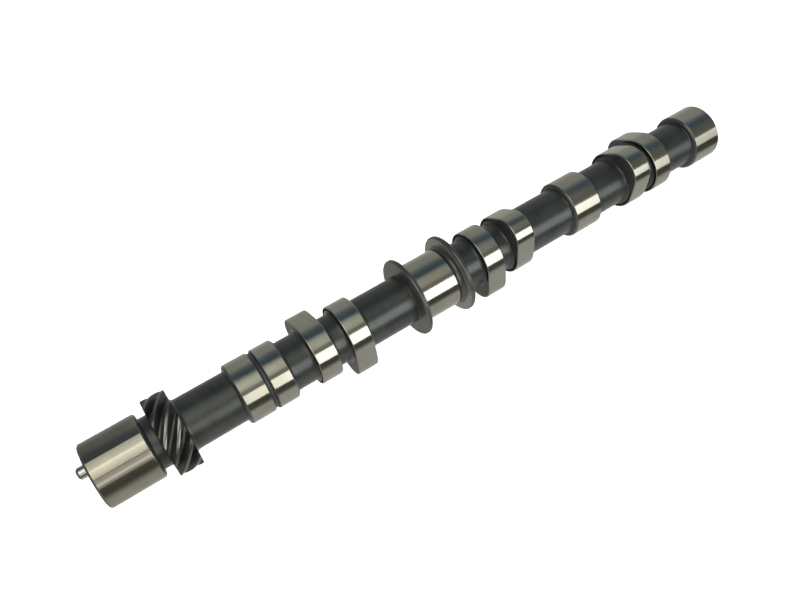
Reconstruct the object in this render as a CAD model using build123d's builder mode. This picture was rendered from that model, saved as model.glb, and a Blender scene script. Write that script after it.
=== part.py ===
from build123d import *
import os
from math import acos, atan2, cos, degrees, pi, radians, sin, sqrt, tan

os.makedirs("parts", exist_ok=True)

# Overhead camshaft of a three-cylinder engine, cast in one piece and machined, in millimetres.
# X runs along the axis from the sprocket end to the rear, Z is up.  The origin is on the axis,
# midway between the two thrust flanges, which hold the shaft endways in the cylinder head.
# Angles about the axis are measured from +Y towards +Z.

# ---- bearing journals: front face and length along X --------------------------------------
journal_radius = 13.0        # the four journals behind the drive gear
journal_chamfer = 0.8
front_journal_step = 0.5     # the front journal is larger all round
front_journal_x = -151.8
front_journal_length = 22.9
second_journal_x = -92.7
second_journal_length = 21.8
fourth_journal_x = 72.2
fourth_journal_length = 15.1
rear_journal_x = 146.7
rear_journal_length = 15.7

# ---- shaft core, as cast -------------------------------------------------------------------
core_drop = 2.2              # from the journals down to the core
cast_foot = 1.0              # 45 degree foot of lobes, flanges and gear blank on the core
journal_foot = 0.5           # the same at the journals

# ---- oil groove round the second journal ---------------------------------------------------
oil_groove_offset = 11.6     # groove centre behind the journal's front face
oil_groove_width = 2.4
oil_groove_depth = 0.85
oil_groove_bevel = 0.4

# ---- thrust journal and its flanges --------------------------------------------------------
thrust_gap = 20.0            # between the flanges' inner faces
flange_radius = 17.5
flange_thickness = 2.1
flange_edge_chamfer = 0.5
relief_depth = 0.5           # grinding reliefs at the foot of each flange
front_relief_width = 1.3
rear_relief_width = 2.8

# ---- cams ------------------------------------------------------------------------------------
cylinder_pitch = 82.8
middle_cylinder_x = 34.5     # middle cylinder's centre line
lobe_spacing = 15.6          # between the two lobes of a cylinder
lobe_width = 9.2
lobe_edge_chamfer = 0.35
base_circle_rise = 0.45      # base circle above the journals
flank_radius = 80.0
first_lobe_lift = 4.8
first_nose_radius = 10.0
second_lobe_lift = 5.0
second_nose_radius = 8.9
first_lobe_angle = -7.0      # nose of the front cylinder's first lobe
lobe_separation = -123.8     # from a cylinder's first nose to its second
cylinder_step = -120.0       # from one cylinder to the next behind it

# ---- drive gear: left-hand helical teeth hobbed in a blank ------------------------------------
gear_neck = 3.8              # core left bare between the front journal and the gear
gear_x = front_journal_x + front_journal_length + gear_neck
gear_width = 9.8
gear_teeth = 11
gear_module = 1.465          # normal module
gear_helix_angle = 56.8      # from the axis, at the pitch circle
gear_pressure_angle = 20.0   # normal
gear_root_clearance = 0.25   # in modules
gear_edge_chamfer = 0.3
gear_phase = 4.8             # a tooth's centre at the middle of the gear's width
hob_overrun = 1.0

# ---- sprocket end ------------------------------------------------------------------------------
bolt_hole_radius = 4.4       # minor radius of the tapped hole
bolt_hole_depth = 26.0
bolt_mouth_radius = 5.6      # 60 degree countersink, also the turning centre
centre_angle = 60.0
drill_point_angle = 118.0
dowel_radius = 2.5
dowel_length = 13.4
dowel_seat_depth = 8.0
dowel_end_chamfer = 0.8
dowel_inset = 4.5            # dowel axis in from the front journal's surface
dowel_angle = -38.2

# ---- rear end: centre drilling -------------------------------------------------------------------
rear_centre_radius = 3.6
rear_pilot_radius = 1.6
rear_pilot_depth = 6.0


def across(x, turn=0.0):
    """Plane square to the axis at x; its own x direction is turned from +Y towards +Z."""
    y_dir = (0, cos(radians(turn)), sin(radians(turn)))
    return Plane(origin=(x, 0, 0), x_dir=y_dir, z_dir=(1, 0, 0))


def circles_of(part, radius):
    """Round edges of one radius, centred on the axis."""
    rings = part.edges().filter_by(GeomType.CIRCLE)
    rings = rings.filter_by(lambda e: abs(e.radius - radius) < 1e-4)
    return rings.filter_by(lambda e: Vector(0, e.arc_center.Y, e.arc_center.Z).length < 1e-4)


def feet(part, faces):
    """The circles in which faces square to the axis, at the given x, meet the core."""
    rings = circles_of(part, core_radius)
    return rings.filter_by(lambda e: min(abs(e.arc_center.X - x) for x in faces) < 1e-4)


# ---- derived sizes ------------------------------------------------------------------------------
front_journal_radius = journal_radius + front_journal_step
core_radius = journal_radius - core_drop
base_circle_radius = journal_radius + base_circle_rise
dowel_pitch_radius = front_journal_radius - dowel_inset
rear_end_x = rear_journal_x + rear_journal_length
thrust_half = thrust_gap / 2
front_flange_x = -thrust_half - flange_thickness
rear_flange_x = thrust_half + flange_thickness

lobe_centres = []
for n in (-1, 0, 1):
    lobe_centres.append(middle_cylinder_x + n * cylinder_pitch - lobe_spacing / 2)
    lobe_centres.append(middle_cylinder_x + n * cylinder_pitch + lobe_spacing / 2)

journal_faces = [
    front_journal_x + front_journal_length,
    second_journal_x,
    second_journal_x + second_journal_length,
    fourth_journal_x,
    fourth_journal_x + fourth_journal_length,
    rear_journal_x,
]
cast_faces = [gear_x, gear_x + gear_width, front_flange_x, rear_flange_x]
cast_faces += [x - lobe_width / 2 for x in lobe_centres]
cast_faces += [x + lobe_width / 2 for x in lobe_centres]

helix = radians(gear_helix_angle)
pitch_radius = gear_teeth * gear_module / cos(helix) / 2
tip_radius = pitch_radius + gear_module
root_radius = pitch_radius - gear_module * (1 + gear_root_clearance)
gear_lead = 2 * pi * pitch_radius / tan(helix)
transverse_pressure = atan2(tan(radians(gear_pressure_angle)), cos(helix))
involute_base_radius = pitch_radius * cos(transverse_pressure)


def involute(angle):
    return tan(angle) - angle


def space_edge(radius):
    """A flank point of one tooth space, as an angle from the middle of the space."""
    roll = acos(involute_base_radius / radius)
    tooth_half = pi / (2 * gear_teeth) + involute(transverse_pressure) - involute(roll)
    return pi / gear_teeth - tooth_half


def polar(radius, angle):
    return (radius * cos(angle), radius * sin(angle))


def cam_outline(lift, nose_radius):
    """Base circle and nose joined by two tangent flank arcs, nose towards the plane's x."""
    nose_x = base_circle_radius + lift - nose_radius
    to_base = flank_radius - base_circle_radius
    to_nose = flank_radius - nose_radius
    flank_x = (to_base**2 - to_nose**2 + nose_x**2) / (2 * nose_x)
    flank_y = sqrt(to_base**2 - flank_x**2)
    opening = degrees(atan2(flank_y, -flank_x))          # where base circle meets flank
    closing = degrees(atan2(flank_y, nose_x - flank_x))  # where flank meets nose
    with BuildLine() as outline:
        CenterArc((0, 0), base_circle_radius, opening, 360 - 2 * opening)
        CenterArc((flank_x, flank_y), flank_radius, -opening, opening - closing)
        CenterArc((nose_x, 0), nose_radius, -closing, 2 * closing)
        CenterArc((flank_x, -flank_y), flank_radius, closing, opening - closing)
    return outline.line


# ---- the two cam forms, each centred on X = 0 with its nose towards +Y --------------------------------
with BuildPart() as first_cam:
    with BuildSketch(across(-lobe_width / 2)):
        with BuildLine():
            add(cam_outline(first_lobe_lift, first_nose_radius))
        make_face()
    extrude(amount=lobe_width)
    chamfer(first_cam.edges().filter_by(GeomType.CIRCLE), lobe_edge_chamfer)

with BuildPart() as second_cam:
    with BuildSketch(across(-lobe_width / 2)):
        with BuildLine():
            add(cam_outline(second_lobe_lift, second_nose_radius))
        make_face()
    extrude(amount=lobe_width)
    chamfer(second_cam.edges().filter_by(GeomType.CIRCLE), lobe_edge_chamfer)


# ---- the camshaft, one iron casting --------------------------------------------------------------
with BuildPart() as camshaft:
    # core
    with BuildSketch(across(front_journal_x)):
        Circle(core_radius)
    extrude(amount=rear_end_x - front_journal_x)

    # plain journals
    for x, length in (
        (second_journal_x, second_journal_length),
        (fourth_journal_x, fourth_journal_length),
        (rear_journal_x, rear_journal_length),
    ):
        with BuildSketch(across(x)):
            Circle(journal_radius)
        extrude(amount=length)
    chamfer(circles_of(camshaft, journal_radius), journal_chamfer)

    # front journal, larger so that the sprocket clears the others
    with BuildSketch(across(front_journal_x)):
        Circle(front_journal_radius)
    extrude(amount=front_journal_length)
    chamfer(circles_of(camshaft, front_journal_radius), journal_chamfer)

    # journals run into the core with a small foot
    chamfer(feet(camshaft, journal_faces), journal_foot)

    # thrust journal between two flanges
    with BuildSketch(across(front_flange_x)):
        Circle(journal_radius)
    extrude(amount=thrust_gap + 2 * flange_thickness)
    for x in (front_flange_x, thrust_half):
        with BuildSketch(across(x)):
            Circle(flange_radius)
        extrude(amount=flange_thickness)
    chamfer(circles_of(camshaft, flange_radius), flange_edge_chamfer)

    # gear blank
    with BuildSketch(across(gear_x)):
        Circle(tip_radius)
    extrude(amount=gear_width)
    chamfer(circles_of(camshaft, tip_radius), gear_edge_chamfer)

    # cams: two to a cylinder, three cylinders, 120 degrees apart
    for cylinder in (-1, 0, 1):
        cylinder_x = middle_cylinder_x + cylinder * cylinder_pitch
        cylinder_angle = first_lobe_angle + (cylinder + 1) * cylinder_step
        with Locations(Location((cylinder_x - lobe_spacing / 2, 0, 0), (cylinder_angle, 0, 0))):
            add(first_cam.part)
        second_angle = cylinder_angle + lobe_separation
        with Locations(Location((cylinder_x + lobe_spacing / 2, 0, 0), (second_angle, 0, 0))):
            add(second_cam.part)

    # cast feet where lobes, flanges and gear blank stand on the core
    chamfer(feet(camshaft, cast_faces), cast_foot)

    # oil groove round the second journal, its edges bevelled
    groove_x = second_journal_x + oil_groove_offset
    groove_floor = oil_groove_width - 2 * oil_groove_bevel
    with BuildSketch(Plane.XZ):
        with Locations((groove_x, journal_radius)):
            Rectangle(groove_floor, 2 * oil_groove_depth)
            Trapezoid(oil_groove_width, oil_groove_bevel, 45, rotation=180, align=(Align.CENTER, Align.MIN))
    revolve(axis=Axis.X, mode=Mode.SUBTRACT)

    # grinding reliefs where the thrust journal meets its flanges
    with BuildSketch(Plane.XZ):
        with Locations((-thrust_half, journal_radius)):
            Rectangle(front_relief_width, 2 * relief_depth, align=(Align.MIN, Align.CENTER))
        with Locations((thrust_half, journal_radius)):
            Rectangle(rear_relief_width, 2 * relief_depth, align=(Align.MAX, Align.CENTER))
    revolve(axis=Axis.X, mode=Mode.SUBTRACT)

    # sprocket end: tapping hole for the sprocket bolt, its mouth a 60 degree turning centre
    with BuildSketch(Plane.XZ):
        with BuildLine():
            mouth_depth = (bolt_mouth_radius - bolt_hole_radius) / tan(radians(centre_angle / 2))
            point_depth = bolt_hole_radius / tan(radians(drill_point_angle / 2))
            Polyline(
                (front_journal_x, 0),
                (front_journal_x, bolt_mouth_radius),
                (front_journal_x + mouth_depth, bolt_hole_radius),
                (front_journal_x + bolt_hole_depth, bolt_hole_radius),
                (front_journal_x + bolt_hole_depth + point_depth, 0),
                close=True,
            )
        make_face()
    revolve(axis=Axis.X, mode=Mode.SUBTRACT)

    # seat of the dowel pin that times the sprocket
    dowel_spot = polar(dowel_pitch_radius, radians(dowel_angle))
    with BuildSketch(across(front_journal_x)):
        with Locations(dowel_spot):
            Circle(dowel_radius)
    extrude(amount=dowel_seat_depth, mode=Mode.SUBTRACT)

    # rear end: centre drilling
    with BuildSketch(Plane.XZ):
        with BuildLine():
            centre_depth = (rear_centre_radius - rear_pilot_radius) / tan(radians(centre_angle / 2))
            Polyline(
                (rear_end_x, 0),
                (rear_end_x, rear_centre_radius),
                (rear_end_x - centre_depth, rear_pilot_radius),
                (rear_end_x - rear_pilot_depth, rear_pilot_radius),
                (rear_end_x - rear_pilot_depth, 0),
                close=True,
            )
        make_face()
    revolve(axis=Axis.X, mode=Mode.SUBTRACT)

    # drive gear: one tooth space, swept along its helix and repeated round the blank
    cut_length = gear_width + 2 * hob_overrun
    cut_twist = -360 * cut_length / gear_lead
    space_angle = gear_phase + 180 / gear_teeth - cut_twist / 2
    with BuildSketch(across(gear_x - hob_overrun, space_angle)) as space:
        with BuildLine():
            outer_radius = tip_radius + hob_overrun / 2
            root_edge = space_edge(root_radius)
            outer_edge = space_edge(outer_radius)
            middle_edge = space_edge((root_radius + outer_radius) / 2)
            middle_radius = (root_radius + outer_radius) / 2
            ThreePointArc(polar(root_radius, -root_edge), (root_radius, 0), polar(root_radius, root_edge))
            ThreePointArc(
                polar(root_radius, root_edge),
                polar(middle_radius, middle_edge),
                polar(outer_radius, outer_edge),
            )
            ThreePointArc(polar(outer_radius, outer_edge), (outer_radius, 0), polar(outer_radius, -outer_edge))
            ThreePointArc(
                polar(outer_radius, -outer_edge),
                polar(middle_radius, -middle_edge),
                polar(root_radius, -root_edge),
            )
        make_face()
    tooth_space = Solid.extrude_linear_with_rotation(
        space.sketch.face(), (gear_x - hob_overrun, 0, 0), (cut_length, 0, 0), cut_twist
    )
    for n in range(gear_teeth):
        add(tooth_space.rotate(Axis.X, n * 360 / gear_teeth), mode=Mode.SUBTRACT)

camshaft.part.label = "camshaft"
export_step(camshaft.part, "parts/camshaft.step")


# ---- dowel pin, pressed in the sprocket face ---------------------------------------------------------
with BuildPart() as dowel_pin:
    with BuildSketch(across(front_journal_x + dowel_seat_depth - dowel_length)):
        with Locations(dowel_spot):
            Circle(dowel_radius)
    extrude(amount=dowel_length)
    chamfer(dowel_pin.edges().filter_by(GeomType.CIRCLE), dowel_end_chamfer)

dowel_pin.part.label = "dowel_pin"
export_step(dowel_pin.part, "parts/dowel_pin.step")
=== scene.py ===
import bpy
import bmesh
from math import acos, ceil, cos, degrees, pi, radians, sin, sqrt, tan
import numpy as np
from mathutils import Matrix, Vector


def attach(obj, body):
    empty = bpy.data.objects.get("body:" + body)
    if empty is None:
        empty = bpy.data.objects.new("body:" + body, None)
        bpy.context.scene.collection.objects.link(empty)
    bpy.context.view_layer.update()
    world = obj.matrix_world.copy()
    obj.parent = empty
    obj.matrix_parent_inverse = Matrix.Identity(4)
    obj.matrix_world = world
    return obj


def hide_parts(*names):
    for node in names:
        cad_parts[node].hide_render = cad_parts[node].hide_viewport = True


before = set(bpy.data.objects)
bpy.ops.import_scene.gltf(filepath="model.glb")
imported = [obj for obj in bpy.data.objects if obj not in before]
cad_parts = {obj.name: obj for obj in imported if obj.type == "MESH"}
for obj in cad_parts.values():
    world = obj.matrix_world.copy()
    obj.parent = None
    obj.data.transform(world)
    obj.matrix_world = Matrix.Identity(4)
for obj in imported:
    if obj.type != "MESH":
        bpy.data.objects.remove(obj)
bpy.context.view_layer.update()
MM = 0.001

# ---- sizes in millimetres and degrees, as in part.py ------------------------------------------
journal_radius = 13.0
front_radius = 13.5
front_x = -151.8
front_rear_x = front_x + 22.9
second_x, second_rear_x = -92.7, -70.9
fourth_x, fourth_rear_x = 72.2, 87.3
rear_x, rear_end_x = 146.7, 162.4
chamfer = 0.8
core_radius = 10.8

groove_x = second_x + 11.6
groove_half_width, groove_depth, groove_bevel = 1.2, 0.85, 0.4

thrust_half = 10.0                      # from the origin to each flange
flange_radius, flange_thickness, flange_chamfer = 17.5, 2.1, 0.5
relief_depth, front_relief, rear_relief = 0.5, 1.3, 2.8

cylinder_pitch, middle_cylinder_x, lobe_spacing = 82.8, 34.5, 15.6
lobe_width = 9.2
base_circle, flank_radius = 13.45, 80.0
first_lift, first_nose = 4.8, 10.0
second_lift, second_nose = 5.0, 8.9
first_lobe_angle, lobe_separation, cylinder_step = -7.0, -123.8, -120.0

gear_x, gear_width = -125.1, 9.8
gear_teeth, gear_module = 11, 1.465
gear_helix, gear_phase = radians(56.8), radians(4.8)
pressure_angle = radians(20)
root_depth = 1.25                       # of the tooth space below the pitch circle, in modules
gear_chamfer = 0.3

bolt_radius, bolt_depth, bolt_mouth = 4.4, 26.0, 5.6
thread_start, thread_end = front_x + 2.6, front_x + 18.0
thread_pitch, thread_depth = 1.25, 0.6
drill_point = 2.6                       # length of the cone at the bolt hole's end
countersink = radians(30)               # from the axis
dowel_radius, dowel_length, dowel_seat = 2.5, 13.4, 8.0
dowel_pitch_radius, dowel_angle, dowel_chamfer = 9.0, radians(-38.2), 0.8
rear_centre, rear_pilot, rear_pilot_depth = 3.6, 1.6, 6.0

# roundings that only the scene has
foot, front_flange_foot, gear_foot, journal_foot = 1.3, 0.6, 0.8, 0.7
journal_edge, lobe_edge, flange_edge = 0.2, 0.45, 0.15

# slots of the shaft's mesh
CAST, SIDE, SHADED_RECESS, GROUND, LOBE, TOOTH, LAND, TURNED, SHOULDER, EDGE, PIN = range(11)

# steps of the mesh
TOOTH_POINTS = 24
N = TOOTH_POINTS * gear_teeth           # points round the shaft
INNER = N // 4                          # points round the holes in its ends
POINT_STEP = 2 * pi / N
even = np.arange(N) * POINT_STEP
ROUNDING_STEP = 30.5                    # degrees, the largest step of a rounding
GEAR_STEPS = 36
THREAD_STEPS = 99


# ---- node helpers --------------------------------------------------------------------------------
def feed(tree, socket, value):
    """Give a socket a constant or the output of another node."""
    if isinstance(value, bpy.types.NodeSocket):
        tree.links.new(value, socket)
    else:
        socket.default_value = value


def maths(tree, operation, *values):
    node = tree.nodes.new("ShaderNodeMath")
    node.operation = operation
    for socket, value in zip(node.inputs, values):
        feed(tree, socket, value)
    return node.outputs[0]


def mixed(tree, kind, factor, first, second):
    node = tree.nodes.new("ShaderNodeMix")
    node.data_type, node.blend_type = "RGBA", kind
    for name, value in (("Factor", factor), ("A", first), ("B", second)):
        feed(tree, node.inputs[name], value)
    return node.outputs["Result"]


# ---- materials -----------------------------------------------------------------------------------
def material(name, dark, light, metallic, rough, lines, bump, anisotropic=0.0, grain=1.0,
             edge_wear_and_highlight=0.0, rough_spread=0.1):
    """Metal with marks, whose fineness along X, Y and Z is lines, with blotches, and convex edges lightened
    partly as wear and partly as painted highlight.
    """
    cloud_scale, fine_scale = 130, 2600 * grain
    line_share, worn_and_highlit_tone = 0.5, (0.2, 0.2, 0.19)
    m = bpy.data.materials.new(name)
    m.use_nodes = True
    tree = m.node_tree
    shader = tree.nodes["Principled BSDF"]
    shader.inputs["Metallic"].default_value = metallic
    shader.inputs["Anisotropic"].default_value = anisotropic
    shader.inputs["Anisotropic Rotation"].default_value = 0.25
    if anisotropic:
        tangent = tree.nodes.new("ShaderNodeTangent")
        tangent.direction_type, tangent.axis = "RADIAL", "X"
        feed(tree, shader.inputs["Tangent"], tangent.outputs[0])
    place = tree.nodes.new("ShaderNodeTexCoord").outputs["Object"]

    def noise(scale, detail, roughness=0.5):
        stretch = tree.nodes.new("ShaderNodeVectorMath")
        stretch.operation = "MULTIPLY"
        feed(tree, stretch.inputs[0], place)
        feed(tree, stretch.inputs[1], scale)
        texture = tree.nodes.new("ShaderNodeTexNoise")
        settings = {"Vector": stretch.outputs[0], "Scale": 1.0, "Detail": detail, "Roughness": roughness}
        for socket, value in settings.items():
            feed(tree, texture.inputs[socket], value)
        return texture.outputs["Fac"]

    def spread(value, low, high, to_low=0.0, to_high=1.0):
        node = tree.nodes.new("ShaderNodeMapRange")
        settings = {"Value": value, "From Min": low, "From Max": high, "To Min": to_low, "To Max": to_high}
        for socket, setting in settings.items():
            feed(tree, node.inputs[socket], setting)
        return node.outputs["Result"]

    def add(first, second, share):
        return maths(tree, "MULTIPLY_ADD", second, share, first)

    marks = noise(tuple(lines), 4.0, 0.6)
    clouds = noise((cloud_scale,) * 3, 4.0)
    fine = noise((fine_scale,) * 3, 3.0)
    tone = add(spread(clouds, 0.3, 0.7), spread(marks, 0.3, 0.7), line_share)
    colour = mixed(tree, "MIX", spread(tone, 0.0, 1.0 + line_share), dark + (1.0,), light + (1.0,))
    # lighter convex edges by pointiness: partly wear, partly painted highlight
    if edge_wear_and_highlight:
        pointiness = tree.nodes.new("ShaderNodeNewGeometry").outputs["Pointiness"]
        colour = mixed(tree, "MIX", spread(pointiness, 0.52, 0.58, 0.0, edge_wear_and_highlight), colour, worn_and_highlit_tone + (1.0,))
    feed(tree, shader.inputs["Base Color"], colour)
    smoothest, roughest = rough - rough_spread / 2, rough + rough_spread / 2
    feed(tree, shader.inputs["Roughness"], spread(add(marks, clouds, 0.6), 0.4, 1.2, smoothest, roughest))
    relief = tree.nodes.new("ShaderNodeBump")
    relief.inputs["Strength"].default_value = bump
    relief.inputs["Distance"].default_value = 0.0001
    feed(tree, relief.inputs["Height"], add(marks, fine, 0.35))
    feed(tree, shader.inputs["Normal"], relief.outputs["Normal"])
    return m


materials = {
    CAST: material("blackened_core", (0.042, 0.048, 0.049), (0.070, 0.077, 0.077), metallic=0.6, rough=0.31,
                   lines=(2600, 55, 55), bump=0.3, anisotropic=0.3, edge_wear_and_highlight=0.5),
    SIDE: material("as_cast_side", (0.034, 0.040, 0.043), (0.058, 0.065, 0.068), metallic=0.35, rough=0.42,
                   lines=(1300, 1300, 1300), bump=0.3, edge_wear_and_highlight=0.6),
    # near black: painted shade in the oil groove and the flange reliefs
    SHADED_RECESS: material("relief_groove_painted_shade", (0.012, 0.013, 0.014), (0.024, 0.026, 0.027), metallic=0.3, rough=0.5,
                  lines=(1300, 1300, 1300), bump=0.2),
    GROUND: material("ground_journal", (0.310, 0.305, 0.270), (0.370, 0.365, 0.330), metallic=1.0, rough=0.13,
                     lines=(5200, 40, 40), bump=0.04, anisotropic=0.7, grain=1.5, rough_spread=0.05),
    LOBE: material("ground_lobe", (0.310, 0.306, 0.274), (0.370, 0.366, 0.334), metallic=1.0, rough=0.14,
                   lines=(4200, 60, 60), bump=0.05, anisotropic=0.7, grain=1.5, rough_spread=0.05),
    TOOTH: material("hobbed_teeth", (0.034, 0.036, 0.038), (0.092, 0.094, 0.096), metallic=0.7, rough=0.36,
                    lines=(900, 900, 900), bump=0.25),
    LAND: material("tooth_lands", (0.14, 0.142, 0.142), (0.26, 0.262, 0.262), metallic=1.0, rough=0.26,
                   lines=(2400, 2400, 2400), bump=0.15),
    TURNED: material("turned_face", (0.075, 0.083, 0.086), (0.135, 0.145, 0.147), metallic=0.7, rough=0.34,
                     lines=(1800, 1800, 1800), bump=0.15),
    SHOULDER: material("turned_shoulder", (0.22, 0.225, 0.215), (0.32, 0.325, 0.31), metallic=0.6, rough=0.42,
                       lines=(1500, 1500, 1500), bump=0.2),
    PIN: material("ground_pin", (0.48, 0.485, 0.49), (0.60, 0.605, 0.61), metallic=1.0, rough=0.2,
                  lines=(4200, 90, 90), bump=0.06, anisotropic=0.3, grain=1.5),
    EDGE: material("bright_edge", (0.30, 0.298, 0.27), (0.42, 0.415, 0.38), metallic=1.0, rough=0.24,
                   lines=(3000, 80, 80), bump=0.08),
}


# ---- cross section of a cam ----------------------------------------------------------------------
def ray(angles, centre, radius):
    """Distance from the axis to a circle centred on the line of angle 0."""
    return centre * np.cos(angles) + np.sqrt(radius**2 - (centre * np.sin(angles)) ** 2)


def cam(lift, nose, inset):
    """Radii of a cam of base circle, two flank arcs and nose, its nose at angle 0, moved in by inset."""
    nose_x = base_circle + lift - nose
    to_base, to_nose = flank_radius - base_circle, flank_radius - nose
    flank_x = (to_base**2 - to_nose**2 + nose_x**2) / (2 * nose_x)
    flank_y = sqrt(to_base**2 - flank_x**2)
    to_touch = (nose - inset) / to_nose

    def radii(angles):
        a = np.abs((angles + pi) % (2 * pi) - pi)
        near = flank_x * np.cos(a) - flank_y * np.sin(a)
        flank = near + np.sqrt(np.maximum((flank_radius - inset) ** 2 - flank_x**2 - flank_y**2 + near**2, 0))
        nose_end = np.arctan2(flank_y * to_touch, nose_x + (nose_x - flank_x) * to_touch)
        flank_end = np.arctan2(flank_y, -flank_x)
        out = np.where(a < nose_end, ray(a, nose_x, nose - inset), flank)
        return np.where(a > flank_end, base_circle - inset, out)

    return radii


# ---- cross section of the drive gear -------------------------------------------------------------
pitch_radius = gear_teeth * gear_module / cos(gear_helix) / 2
tip_radius = pitch_radius + gear_module
root_radius = pitch_radius - root_depth * gear_module
gear_lead = 2 * pi * pitch_radius / tan(gear_helix)
transverse_angle = np.arctan2(tan(pressure_angle), cos(gear_helix))
involute_base = pitch_radius * cos(transverse_angle)


def tooth_half_angle(radius):
    roll = acos(min(1.0, involute_base / radius))
    at_pitch = tan(transverse_angle) - transverse_angle
    return pi / (2 * gear_teeth) + at_pitch - (tan(roll) - roll)


def tooth_outline():
    """Angle and radius of the points of one tooth, from space middle to space middle."""
    flank_top, flank_foot, flank_steps = tip_radius - 0.14, root_radius + 0.35, 4
    land = tooth_half_angle(tip_radius - 0.12) - 0.006
    half = [(0.0, tip_radius), (land * 0.8, tip_radius), (land, tip_radius - 0.04)]
    for k in range(flank_steps + 1):
        r = flank_top - (flank_top - flank_foot) * k / flank_steps
        half.append((tooth_half_angle(r), r))
    flank_end = tooth_half_angle(flank_foot)
    space = pi / gear_teeth - flank_end
    for share, height in ((0.10, 0.18), (0.24, 0.06), (0.45, 0.0), (0.72, 0.0), (1.0, 0.0)):
        half.append((flank_end + space * share, root_radius + height))
    left = [(-a, r) for a, r in half[:0:-1]]
    return (left + half)[:TOOTH_POINTS]


outline = tooth_outline()
tooth_angles = np.array([2 * pi * n / gear_teeth + a for n in range(gear_teeth) for a, r in outline])
tooth_radii = np.array([r for a, r in outline] * gear_teeth)
high = tooth_radii > tip_radius - 0.05
tooth_slots = np.where(high & np.roll(high, -1), LAND, TOOTH)


# ---- rings of the shaft --------------------------------------------------------------------------
def rounded(points):
    """Section line through (x, y, rounding, slot of the stretch after it, slot of the rounding)."""
    out = []
    for i, (x, y, r, slot, edge) in enumerate(points):
        if r == 0 or i in (0, len(points) - 1):
            out.append((x, y, slot))
            continue
        here = Vector((x, y))
        before = (Vector(points[i - 1][:2]) - here).normalized()
        after = (Vector(points[i + 1][:2]) - here).normalized()
        inside = before.angle(after)
        turn = pi - inside
        reach = r * tan(turn / 2)
        centre = here + (before + after).normalized() * (r / sin(inside / 2))
        steps = max(2, ceil(degrees(turn) / ROUNDING_STEP))
        start, end = here + before * reach - centre, here + after * reach - centre
        sweep = start.angle_signed(end)
        for k in range(steps + 1):
            p = centre + Matrix.Rotation(-sweep * k / steps, 2) @ start
            out.append((p.x, p.y, edge if k < steps else slot))
    return out


rings = []                              # x, angles, radii, slot of the band after it
lobe_margin, journal_margin = 3.2, 3.0  # core in one section line with a foot
wall_start = core_radius + 2.0          # where a lobe's or the gear's wall leaves its foot's section line


def turned(points):
    for x, y, slot in rounded(points):
        rings.append((np.full(N, x), even, np.full(N, y), slot))


def front_journal():
    turned([
        (front_x, 8.0, 0, SHOULDER, SHOULDER),
        (front_x, front_radius - chamfer, 0.25, TURNED, TURNED),
        (front_x + chamfer, front_radius, journal_edge, GROUND, EDGE),
        (front_rear_x - chamfer, front_radius, journal_edge, TURNED, EDGE),
        (front_rear_x, front_radius - chamfer, journal_edge, SIDE, TURNED),
        (front_rear_x, core_radius, journal_foot, CAST, CAST),
        (gear_x, core_radius, gear_foot, SIDE, CAST),
        (gear_x, wall_start, 0, SIDE, SIDE),
    ])


def gear():
    """Rings of the teeth, each turned further along the helix, with chamfered ends."""
    end_break, chamfer_slope = 0.08, 1.1
    middle = gear_x + gear_width / 2
    toothed = gear_width - 2 * gear_chamfer
    steps = [0, end_break, gear_chamfer]
    steps += [gear_chamfer + toothed * k / GEAR_STEPS for k in range(1, GEAR_STEPS)]
    steps += [gear_width - gear_chamfer, gear_width - end_break, gear_width]
    first = round((gear_phase + pi * gear_width / gear_lead + tooth_angles[0]) / POINT_STEP)
    for s in steps:
        x = gear_x + s
        angles = tooth_angles + gear_phase - 2 * pi * (x - middle) / gear_lead
        in_chamfer = max(0.0, gear_chamfer - min(s, gear_width - s))
        radii = np.minimum(tooth_radii, tip_radius - in_chamfer * chamfer_slope)
        angles, radii, slots = (np.roll(row, first) for row in (angles, radii, tooth_slots))
        rings.append((np.full(N, x), angles, radii, slots))


def second_journal():
    floor_radius = journal_radius - groove_depth
    wall_half = groove_half_width - groove_bevel
    turned([
        (gear_x + gear_width, wall_start, 0, SIDE, SIDE),
        (gear_x + gear_width, core_radius, foot, CAST, CAST),
        (second_x, core_radius, journal_foot, TURNED, CAST),
        (second_x, journal_radius - chamfer, journal_edge, TURNED, TURNED),
        (second_x + chamfer, journal_radius, journal_edge, GROUND, EDGE),
        (groove_x - groove_half_width, journal_radius, 0.12, TURNED, TURNED),
        (groove_x - wall_half, journal_radius - groove_bevel, 0, SHADED_RECESS, SHADED_RECESS),
        (groove_x - wall_half, floor_radius, 0.3, SIDE, SHADED_RECESS),
        (groove_x + wall_half, floor_radius, 0.3, SHADED_RECESS, SHADED_RECESS),
        (groove_x + wall_half, journal_radius - groove_bevel, 0, SIDE, SIDE),
        (groove_x + groove_half_width, journal_radius, 0.12, GROUND, TURNED),
        (second_rear_x - chamfer, journal_radius, journal_edge, TURNED, EDGE),
        (second_rear_x, journal_radius - chamfer, journal_edge, SIDE, TURNED),
        (second_rear_x, core_radius, journal_foot, CAST, CAST),
        (second_rear_x + journal_margin, core_radius, 0, CAST, CAST),
    ])


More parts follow.
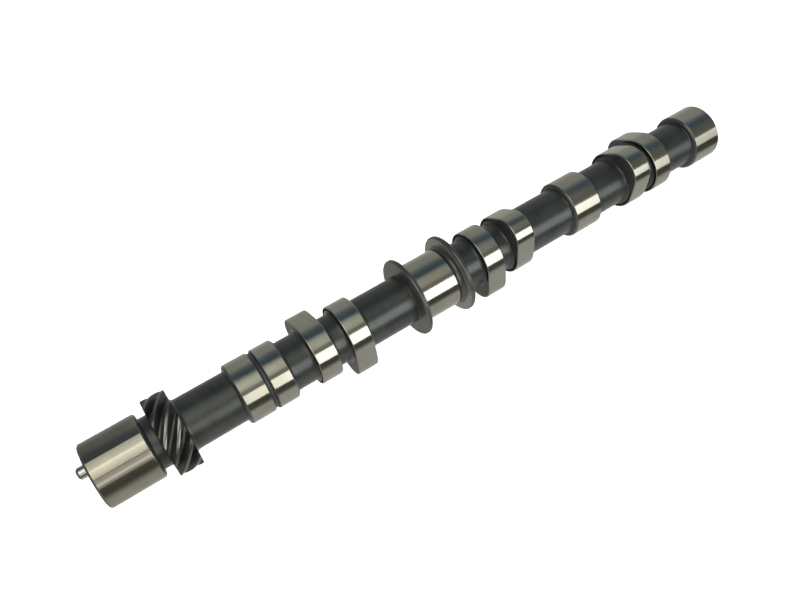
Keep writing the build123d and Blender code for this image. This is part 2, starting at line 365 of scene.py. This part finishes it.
def thrust_journal():
    front_face, rear_face = -thrust_half - flange_thickness, thrust_half + flange_thickness
    rim = flange_radius - flange_chamfer
    relief = journal_radius - relief_depth
    turned([
        (front_face - journal_margin, core_radius, 0, CAST, CAST),
        (front_face, core_radius, front_flange_foot, TURNED, CAST),
        (front_face, rim, flange_edge, TURNED, EDGE),
        (front_face + flange_chamfer, flange_radius, flange_edge, SIDE, EDGE),
        (-thrust_half - flange_chamfer, flange_radius, flange_edge, TURNED, EDGE),
        (-thrust_half, rim, flange_edge, SHOULDER, TURNED),
        (-thrust_half, relief, 0.4, SHADED_RECESS, SHADED_RECESS),
        (-thrust_half + front_relief, relief, 0.15, SHADED_RECESS, SHADED_RECESS),
        (-thrust_half + front_relief, journal_radius, 0.12, GROUND, EDGE),
        (thrust_half - rear_relief, journal_radius, 0.1, SHADED_RECESS, SHADED_RECESS),
        (thrust_half - rear_relief, relief, 0.1, SHADED_RECESS, SHADED_RECESS),
        (thrust_half - 1.7, relief, 0, TURNED, TURNED),
        (thrust_half, relief, foot, SHOULDER, TURNED),
        (thrust_half, rim, flange_edge, TURNED, EDGE),
        (thrust_half + flange_chamfer, flange_radius, flange_edge, SIDE, EDGE),
        (rear_face - flange_chamfer, flange_radius, flange_edge, TURNED, EDGE),
        (rear_face, rim, flange_edge, TURNED, TURNED),
        (rear_face, core_radius, foot, CAST, CAST),
        (rear_face + journal_margin, core_radius, 0, CAST, CAST),
    ])


def plain_journal(start, end, last=False):
    """A journal with its feet; the last one ends in the shaft's rear face."""
    points = [
        (start - journal_margin, core_radius, 0, CAST, CAST),
        (start, core_radius, journal_foot, SIDE, CAST),
        (start, journal_radius - chamfer, journal_edge, TURNED, TURNED),
        (start + chamfer, journal_radius, journal_edge, GROUND, EDGE),
        (end - chamfer, journal_radius, journal_edge, TURNED, EDGE),
        (end, journal_radius - chamfer, journal_edge, SHOULDER if last else SIDE, TURNED),
    ]
    if last:
        points += [(end, 5.4, 0, SHOULDER, SHOULDER)]
    else:
        points += [(end, core_radius, journal_foot, CAST, CAST)]
        points += [(end + journal_margin, core_radius, 0, CAST, CAST)]
    turned(points)


def lobe(x, lift, nose, angle):
    """Rings of a cam with the feet on both its sides."""
    front, rear, wall = x - lobe_width / 2, x + lobe_width / 2, -1.4
    turned([
        (front - lobe_margin, core_radius, 0, CAST, CAST),
        (front, core_radius, foot, SIDE, CAST),
        (front, wall_start, 0, SIDE, SIDE),
    ])
    for px, outward, slot in rounded([
        (front, wall, 0, SIDE, SIDE),
        (front, 0, lobe_edge, LOBE, EDGE),
        (rear, 0, lobe_edge, SIDE, EDGE),
        (rear, wall, 0, SIDE, SIDE),
    ]):
        radii = cam(lift, nose, -outward)(even - radians(angle))
        rings.append((np.full(N, px), even, radii, slot))
    turned([
        (rear, wall_start, 0, SIDE, SIDE),
        (rear, core_radius, foot, CAST, CAST),
        (rear + lobe_margin, core_radius, 0, CAST, CAST),
    ])


def cylinder(n):
    """Both lobes of a cylinder: -1 front, 0 middle, 1 rear."""
    x = middle_cylinder_x + n * cylinder_pitch
    angle = first_lobe_angle + (n + 1) * cylinder_step
    lobe(x - lobe_spacing / 2, first_lift, first_nose, angle)
    lobe(x + lobe_spacing / 2, second_lift, second_nose, angle + lobe_separation)


front_journal()
gear()
gear_end = len(rings)
second_journal()
cylinder(-1)
thrust_journal()
cylinder(0)
plain_journal(fourth_x, fourth_rear_x)
cylinder(1)
plain_journal(rear_x, rear_end_x, last=True)

# ---- mesh from the rings -------------------------------------------------------------------------
verts, faces, slots = [], [], []


def add_ring(x, angles, radii):
    start = len(verts)
    for px, a, r in zip(x, angles, radii):
        verts.append((px * MM, r * cos(a) * MM, r * sin(a) * MM))
    return start


def join(a, b, count, slot, flip=False):
    for j in range(count):
        k = (j + 1) % count
        loop = (a + j, a + k, b + k, b + j)
        faces.append(loop[::-1] if flip else loop)
        slots.append(int(slot) if np.ndim(slot) == 0 else int(slot[j]))


def narrow(outer, inner, slot, flip):
    """Flat annulus from a ring of N points to one of a quarter as many."""
    for j in range(INNER):
        loop = (inner + j, inner + (j + 1) % INNER) + tuple(outer + (4 * j + m) % N for m in (4, 3, 2, 1, 0))
        faces.append(loop[::-1] if flip else loop)
        slots.append(slot)


def cap(ring, x, flip):
    centre = len(verts)
    verts.append((x * MM, 0, 0))
    for j in range(INNER):
        loop = (centre, ring + j, ring + (j + 1) % INNER)
        faces.append(loop[::-1] if flip else loop)
        slots.append(TURNED)


previous, previous_slot, last_angle, shift = None, None, 0.0, 0
for i, (x, angles, radii, slot) in enumerate(rings):
    if i == gear_end:                   # the teeth have turned: go on from the nearest even points
        shift = round((last_angle - angles[0]) / POINT_STEP)
    if i >= gear_end:
        angles, radii = np.roll(angles, -shift), np.roll(radii, -shift)
    ring = add_ring(x, angles, radii)
    if previous is not None:
        join(previous, ring, N, previous_slot)
    previous, previous_slot, last_angle = ring, slot, angles[0]
front_ring, rear_ring = 0, previous


def hole(points, outer, flip, turn=0.0):
    """Rings of a round hole in an end face, from the mouth inwards."""
    around = even[::4] + turn
    tip = points[-1][0] + (1e-3 if flip else -1e-3)
    last, last_slot = None, None
    for px, r, slot in points:
        radii = r(around, px) if callable(r) else np.full(INNER, r)
        ring = add_ring(np.full(INNER, px), around, radii)
        if last is None:
            narrow(outer, ring, SHOULDER, flip)
        else:
            join(last, ring, INNER, last_slot, flip)
        last, last_slot = ring, slot
    cap(last, tip, not flip)


def thread(angles, x):
    """Radii of the tapped hole at x; the thread runs out at both its ends."""
    crest_flat, flank_share, run_out = 0.16, 0.7, 1.0
    turns = ((x - thread_start) / thread_pitch - angles / (2 * pi)) % 1.0
    wave = np.clip((np.abs(2 * turns - 1) - crest_flat) / flank_share, 0, 1)
    ends = min(1.0, (x - thread_start) / run_out, (thread_end - x) / run_out)
    return bolt_radius + thread_depth * wave * max(0.0, ends)


def bolt_hole():
    """Tapped hole of the sprocket bolt, M10 by 1.25."""
    hole_end = front_x + bolt_depth
    line = rounded([
        (front_x, 6.0, 0, SHOULDER, SHOULDER),
        (front_x, bolt_mouth, 0.15, TURNED, EDGE),
        (front_x + (bolt_mouth - bolt_radius) / tan(countersink), bolt_radius, 0.2, TURNED, TURNED),
        (thread_start, bolt_radius, 0, TURNED, TURNED),
    ])
    for k in range(1, THREAD_STEPS):
        line.append((thread_start + (thread_end - thread_start) * k / THREAD_STEPS, thread, TURNED))
    line += [(thread_end, bolt_radius, TURNED), (hole_end, bolt_radius, TURNED)]
    line += [(hole_end + drill_point, 0.05, TURNED)]
    hole(line, front_ring, True)


def rear_centre_hole():
    pilot_end = rear_end_x - rear_pilot_depth
    hole(rounded([
        (rear_end_x, 4.2, 0, SHOULDER, SHOULDER),
        (rear_end_x, rear_centre, 0.15, TURNED, EDGE),
        (rear_end_x - (rear_centre - rear_pilot) / tan(countersink), rear_pilot, 0.15, TURNED, TURNED),
        (pilot_end, rear_pilot, 0, TURNED, TURNED),
        (pilot_end, 0.05, 0, TURNED, TURNED),
    ]), rear_ring, False, even[shift % N])


bolt_hole()
rear_centre_hole()


# ---- objects -------------------------------------------------------------------------------------
def make_mesh(name, verts, faces, slots):
    mesh = bpy.data.meshes.new(name)
    mesh.from_pydata(verts, [], faces)
    for slot in sorted(materials):
        mesh.materials.append(materials[slot])
    mesh.polygons.foreach_set("material_index", slots)
    obj = bpy.data.objects.new(name, mesh)
    bpy.context.scene.collection.objects.link(obj)
    bm = bmesh.new()
    bm.from_mesh(mesh)
    bmesh.ops.remove_doubles(bm, verts=bm.verts, dist=1e-7)
    bmesh.ops.recalc_face_normals(bm, faces=bm.faces)
    bm.to_mesh(mesh)
    bm.free()
    return obj


def smooth(obj, angle=40):
    obj.data.shade_smooth()
    obj.data.set_sharp_from_angle(angle=radians(angle))
    weighted = obj.modifiers.new("weighted", "WEIGHTED_NORMAL")
    weighted.keep_sharp = True


def spun(name, points, centre, count=64):
    """Closed turned piece with its axis along X through centre; points run from one end to the other."""
    v, f, m = [], [], []
    for px, r, slot in points:
        for j in range(count):
            a = 2 * pi * j / count
            v.append((px * MM, (centre[0] + r * cos(a)) * MM, (centre[1] + r * sin(a)) * MM))
    for i in range(len(points) - 1):
        for j in range(count):
            k = (j + 1) % count
            f.append((i * count + j, i * count + k, (i + 1) * count + k, (i + 1) * count + j))
            m.append(points[i][2])
    f.append(tuple(range(count)))
    f.append(tuple(reversed(range((len(points) - 1) * count, len(points) * count))))
    m += [points[0][2], points[-1][2]]
    return make_mesh(name, v, f, m)


dowel_centre = (dowel_pitch_radius * cos(dowel_angle), dowel_pitch_radius * sin(dowel_angle))


def cut_dowel_seat(body):
    """Bore the dowel's seat, bevelled at its mouth, into the end face."""
    outside, bevel = 1.0, 0.25
    seat = spun("seat_cutter", [
        (front_x - outside, dowel_radius + outside + bevel, EDGE),
        (front_x + bevel, dowel_radius, TURNED),
        (front_x + dowel_seat, dowel_radius, TURNED),
    ], dowel_centre)
    cut = body.modifiers.new("seat", "BOOLEAN")
    cut.operation, cut.solver, cut.object = "DIFFERENCE", "EXACT", seat
    bpy.context.view_layer.update()
    body_evaluated = body.evaluated_get(bpy.context.evaluated_depsgraph_get())
    cut_mesh = bpy.data.meshes.new_from_object(body_evaluated)
    body.modifiers.clear()
    body.data = cut_mesh
    bpy.data.objects.remove(seat)


def dowel_pin():
    start = front_x + dowel_seat - dowel_length
    end = start + dowel_length
    return spun("dowel_pin_body", rounded([
        (start, 0.3, 0, TURNED, TURNED),
        (start, dowel_radius - dowel_chamfer, 0.25, TURNED, EDGE),
        (start + dowel_chamfer, dowel_radius, 0.4, PIN, EDGE),
        (end - dowel_chamfer, dowel_radius, 0.2, TURNED, TURNED),
        (end, dowel_radius - dowel_chamfer, 0.1, TURNED, TURNED),
        (end, 0.3, 0, TURNED, TURNED),
    ]), dowel_centre)


body = make_mesh("camshaft_body", verts, faces, slots)
cut_dowel_seat(body)
smooth(body)
pin = dowel_pin()
smooth(pin)

# ---- what stands for what ------------------------------------------------------------------------
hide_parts("camshaft")
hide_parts("dowel_pin")
for obj in (body, pin):
    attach(obj, "root")


# ---- floor ---------------------------------------------------------------------------------------
def pale_floor():
    """A square floor under the flanges, its half width in metres."""
    half, z = 4, -flange_radius * MM
    mesh = bpy.data.meshes.new("floor")
    corners = [(-half, -half, z), (half, -half, z), (half, half, z), (-half, half, z)]
    mesh.from_pydata(corners, [], [(0, 1, 2, 3)])
    pale = bpy.data.materials.new("pale_floor")
    pale.use_nodes = True
    shader = pale.node_tree.nodes["Principled BSDF"]
    shader.inputs["Base Color"].default_value = (0.92, 0.92, 0.92, 1)
    shader.inputs["Roughness"].default_value = 0.9
    shader.inputs["Specular IOR Level"].default_value = 0.2
    mesh.materials.append(pale)
    obj = bpy.data.objects.new("floor", mesh)
    bpy.context.scene.collection.objects.link(obj)
    obj.visible_glossy = False
    return obj


floor = pale_floor()


# ---- lights: long softboxes beside the shaft -----------------------------------------------------
def strip(name, low, high, x_from, x_to, radiance, colour, distance=1.2):
    """Softbox along X between two heights in degrees, seen from the shaft: 0 front, 90 above, 180 back."""
    middle, half = radians((low + high) / 2), radians((high - low) / 2)
    light = bpy.data.lights.new(name, "AREA")
    light.shape = "RECTANGLE"
    light.size, light.size_y = x_to - x_from, 2 * distance * tan(half)
    light.energy = radiance * pi * light.size * light.size_y
    light.color = colour
    lamp = bpy.data.objects.new(name, light)
    towards = Vector((0, -cos(middle), sin(middle)))
    across = Vector((0, sin(middle), cos(middle)))
    lamp.matrix_world = Matrix((Vector((1, 0, 0)), across, towards)).transposed().to_4x4()
    lamp.location = towards * distance + Vector(((x_from + x_to) / 2, 0, 0))
    bpy.context.scene.collection.objects.link(lamp)


left_end, shaft_front = -1.5, -0.05
strip("front_near", 14, 47, shaft_front, 0.13, 2.2, (1.0, 0.97, 0.84))
strip("front_middle", 11, 47, 0.13, 0.78, 3.4, (1.0, 1.0, 0.97))
strip("front_far", 8, 43, 0.78, 0.93, 2.8, (1.0, 0.99, 0.92))
strip("front_farther", 6, 41, 0.93, 1.12, 2.0, (1.0, 0.98, 0.90))
strip("front_end", 3, 38, 1.12, 2.4, 1.25, (1.0, 0.98, 0.88))
for low, high, radiance in ((20, 28, 0.5), (28, 37, 1.25), (37, 44, 0.7), (44, 50, 0.5), (54, 62, 1.0)):
    strip("front_left_%d" % low, low, high, left_end, shaft_front, radiance, (1.0, 0.95, 0.84))
for low, high, radiance in (
    (62, 69, 1.35), (69, 76, 1.6), (76, 84, 2.1), (84, 91, 1.3), (91, 101, 1.15), (101, 111, 1.0),
):
    strip("top_left_%d" % low, low, high, left_end, shaft_front, radiance, (1.0, 0.95, 0.80))


def floor_light():
    """The floor's own light, without shadow, so that the floor stays plain white."""
    only_floor = bpy.data.collections.new("only_floor")
    only_floor.objects.link(floor)
    wash = bpy.data.lights.new("floor_wash", "SUN")
    wash.energy, wash.angle, wash.use_shadow = 4.0, radians(60), False
    lamp = bpy.data.objects.new("floor_wash", wash)
    lamp.light_linking.receiver_collection = only_floor
    bpy.context.scene.collection.objects.link(lamp)


floor_light()

# ---- room round the shaft ------------------------------------------------------------------------
world = bpy.data.worlds.new("room")
bpy.context.scene.world = world
world.use_nodes = True
room_tree = world.node_tree
DEGREES, SPAN = 360, 2                  # full widths of a ramp over the height and over X
BLACK, WHITE = (0.0, 0.0, 0.0), (1.0, 1.0, 1.0)


def tones(value, width, stops):
    """A colour ramp centred on 0; the stops are (where, colour), from low to high."""
    ramp = room_tree.nodes.new("ShaderNodeValToRGB")
    elements = ramp.color_ramp.elements
    elements[0].color, elements[1].color = stops[0][1] + (1.0,), stops[-1][1] + (1.0,)
    elements[0].position = stops[0][0] / width + 0.5
    elements[1].position = stops[-1][0] / width + 0.5
    for at, tone in stops[1:-1]:
        elements.new(at / width + 0.5).color = tone + (1.0,)
    feed(room_tree, ramp.inputs["Fac"], value)
    return ramp.outputs["Color"]


def sums(operation, *values):
    return maths(room_tree, operation, *values)


separate = room_tree.nodes.new("ShaderNodeSeparateXYZ")
feed(room_tree, separate.inputs[0], room_tree.nodes.new("ShaderNodeTexCoord").outputs["Generated"])
to_rear, to_back, up = (separate.outputs[axis] for axis in "XYZ")

# height round the shaft, 0 front, 90 above, 180 back, as a ramp's place, and the same for X
height = sums("MULTIPLY_ADD", sums("ARCTAN2", up, sums("MULTIPLY", to_back, -1.0)), 1 / (2 * pi), 0.5)
along = sums("MULTIPLY_ADD", to_rear, 0.5, 0.5)

# the rear's tones lie lower, above the front by more the further back they are, and below it from X 0.5
above = sums("MAXIMUM", sums("SUBTRACT", height, 0.5), 0.0)
above_lean = sums("MULTIPLY", sums("MAXIMUM", sums("SUBTRACT", to_rear, 0.35), 0.0), 0.6)
below_lean = sums("MULTIPLY", sums("SUBTRACT", to_rear, 0.5), 0.3)
lean = sums("MAXIMUM", sums("MULTIPLY", above_lean, above), below_lean)

near_room = tones(height, DEGREES, [
    (-180, (0.235, 0.24, 0.22)), (-120, (0.55, 0.53, 0.48)), (-38, (0.62, 0.59, 0.53)),
    (-24, (0.42, 0.39, 0.33)), (-14, (0.20, 0.19, 0.15)), (-4, (0.125, 0.12, 0.10)),
    (44, (0.14, 0.13, 0.11)), (50, (0.46, 0.40, 0.33)), (60, (0.44, 0.38, 0.31)),
    (102, (0.16, 0.15, 0.13)), (112, (0.105, 0.11, 0.12)), (134, (0.105, 0.113, 0.122)),
    (150, (0.18, 0.185, 0.17)), (180, (0.235, 0.24, 0.22)),
])
far_room = tones(sums("ADD", height, lean), DEGREES, [
    (-180, (0.50, 0.50, 0.455)), (-120, (0.66, 0.65, 0.61)), (-23, (0.69, 0.68, 0.63)),
    (-10, (0.16, 0.16, 0.14)), (-3, (0.115, 0.115, 0.10)), (44, (0.13, 0.13, 0.115)),
    (50, (0.40, 0.40, 0.35)), (62, (0.24, 0.24, 0.21)), (96, (0.19, 0.20, 0.19)),
    (106, (0.095, 0.145, 0.185)), (122, (0.11, 0.16, 0.205)), (137, (0.24, 0.28, 0.295)),
    (148, (0.45, 0.47, 0.43)), (180, (0.50, 0.50, 0.455)),
])
overhead = tones(height, DEGREES, [
    (58, BLACK), (66, (0.8, 0.8, 0.68)), (76, (1.0, 1.0, 0.84)), (90, (0.95, 0.95, 0.80)),
    (100, (0.5, 0.5, 0.44)), (108, BLACK),
])
overhead_fade = tones(along, SPAN, [
    (0.02, BLACK), (0.06, (0.86, 0.86, 0.86)), (0.20, (0.70, 0.70, 0.70)), (0.35, (0.44, 0.44, 0.44)),
    (0.42, (0.26, 0.26, 0.26)), (0.53, (0.03, 0.03, 0.03)), (0.60, BLACK),
])
rear_part = tones(along, SPAN, [(-0.035, BLACK), (-0.01, WHITE)])
room = mixed(room_tree, "MIX", rear_part, near_room, far_room)
room = mixed(room_tree, "ADD", 1.0, room, mixed(room_tree, "MULTIPLY", 1.0, overhead, overhead_fade))
seen = room_tree.nodes.new("ShaderNodeLightPath").outputs["Is Camera Ray"]
background = room_tree.nodes["Background"]
background.inputs["Strength"].default_value = 1.0
feed(room_tree, background.inputs["Color"], mixed(room_tree, "MIX", seen, room, WHITE + (1.0,)))

bpy.context.scene.view_settings.view_transform = "Standard"
bpy.context.scene.view_settings.look = "None"

# ---- camera, fitted to the photograph ------------------------------------------------------------
camera_data = bpy.data.cameras.new("camera")
camera_data.sensor_width = 36.0
camera_data.lens = 35.80
camera_data.clip_start = 0.01
camera_data.shift_x, camera_data.shift_y = -0.0006, 0.00065
camera = bpy.data.objects.new("camera", camera_data)
right = Vector((0.82627, -0.56328, 0.00158))
back = Vector((-0.30643, -0.44714, 0.84034))
camera.matrix_world = Matrix((right, back.cross(right), back)).transposed().to_4x4()
camera.location = (-0.11784, -0.14651, 0.27830)
bpy.context.scene.collection.objects.link(camera)
bpy.context.scene.camera = camera
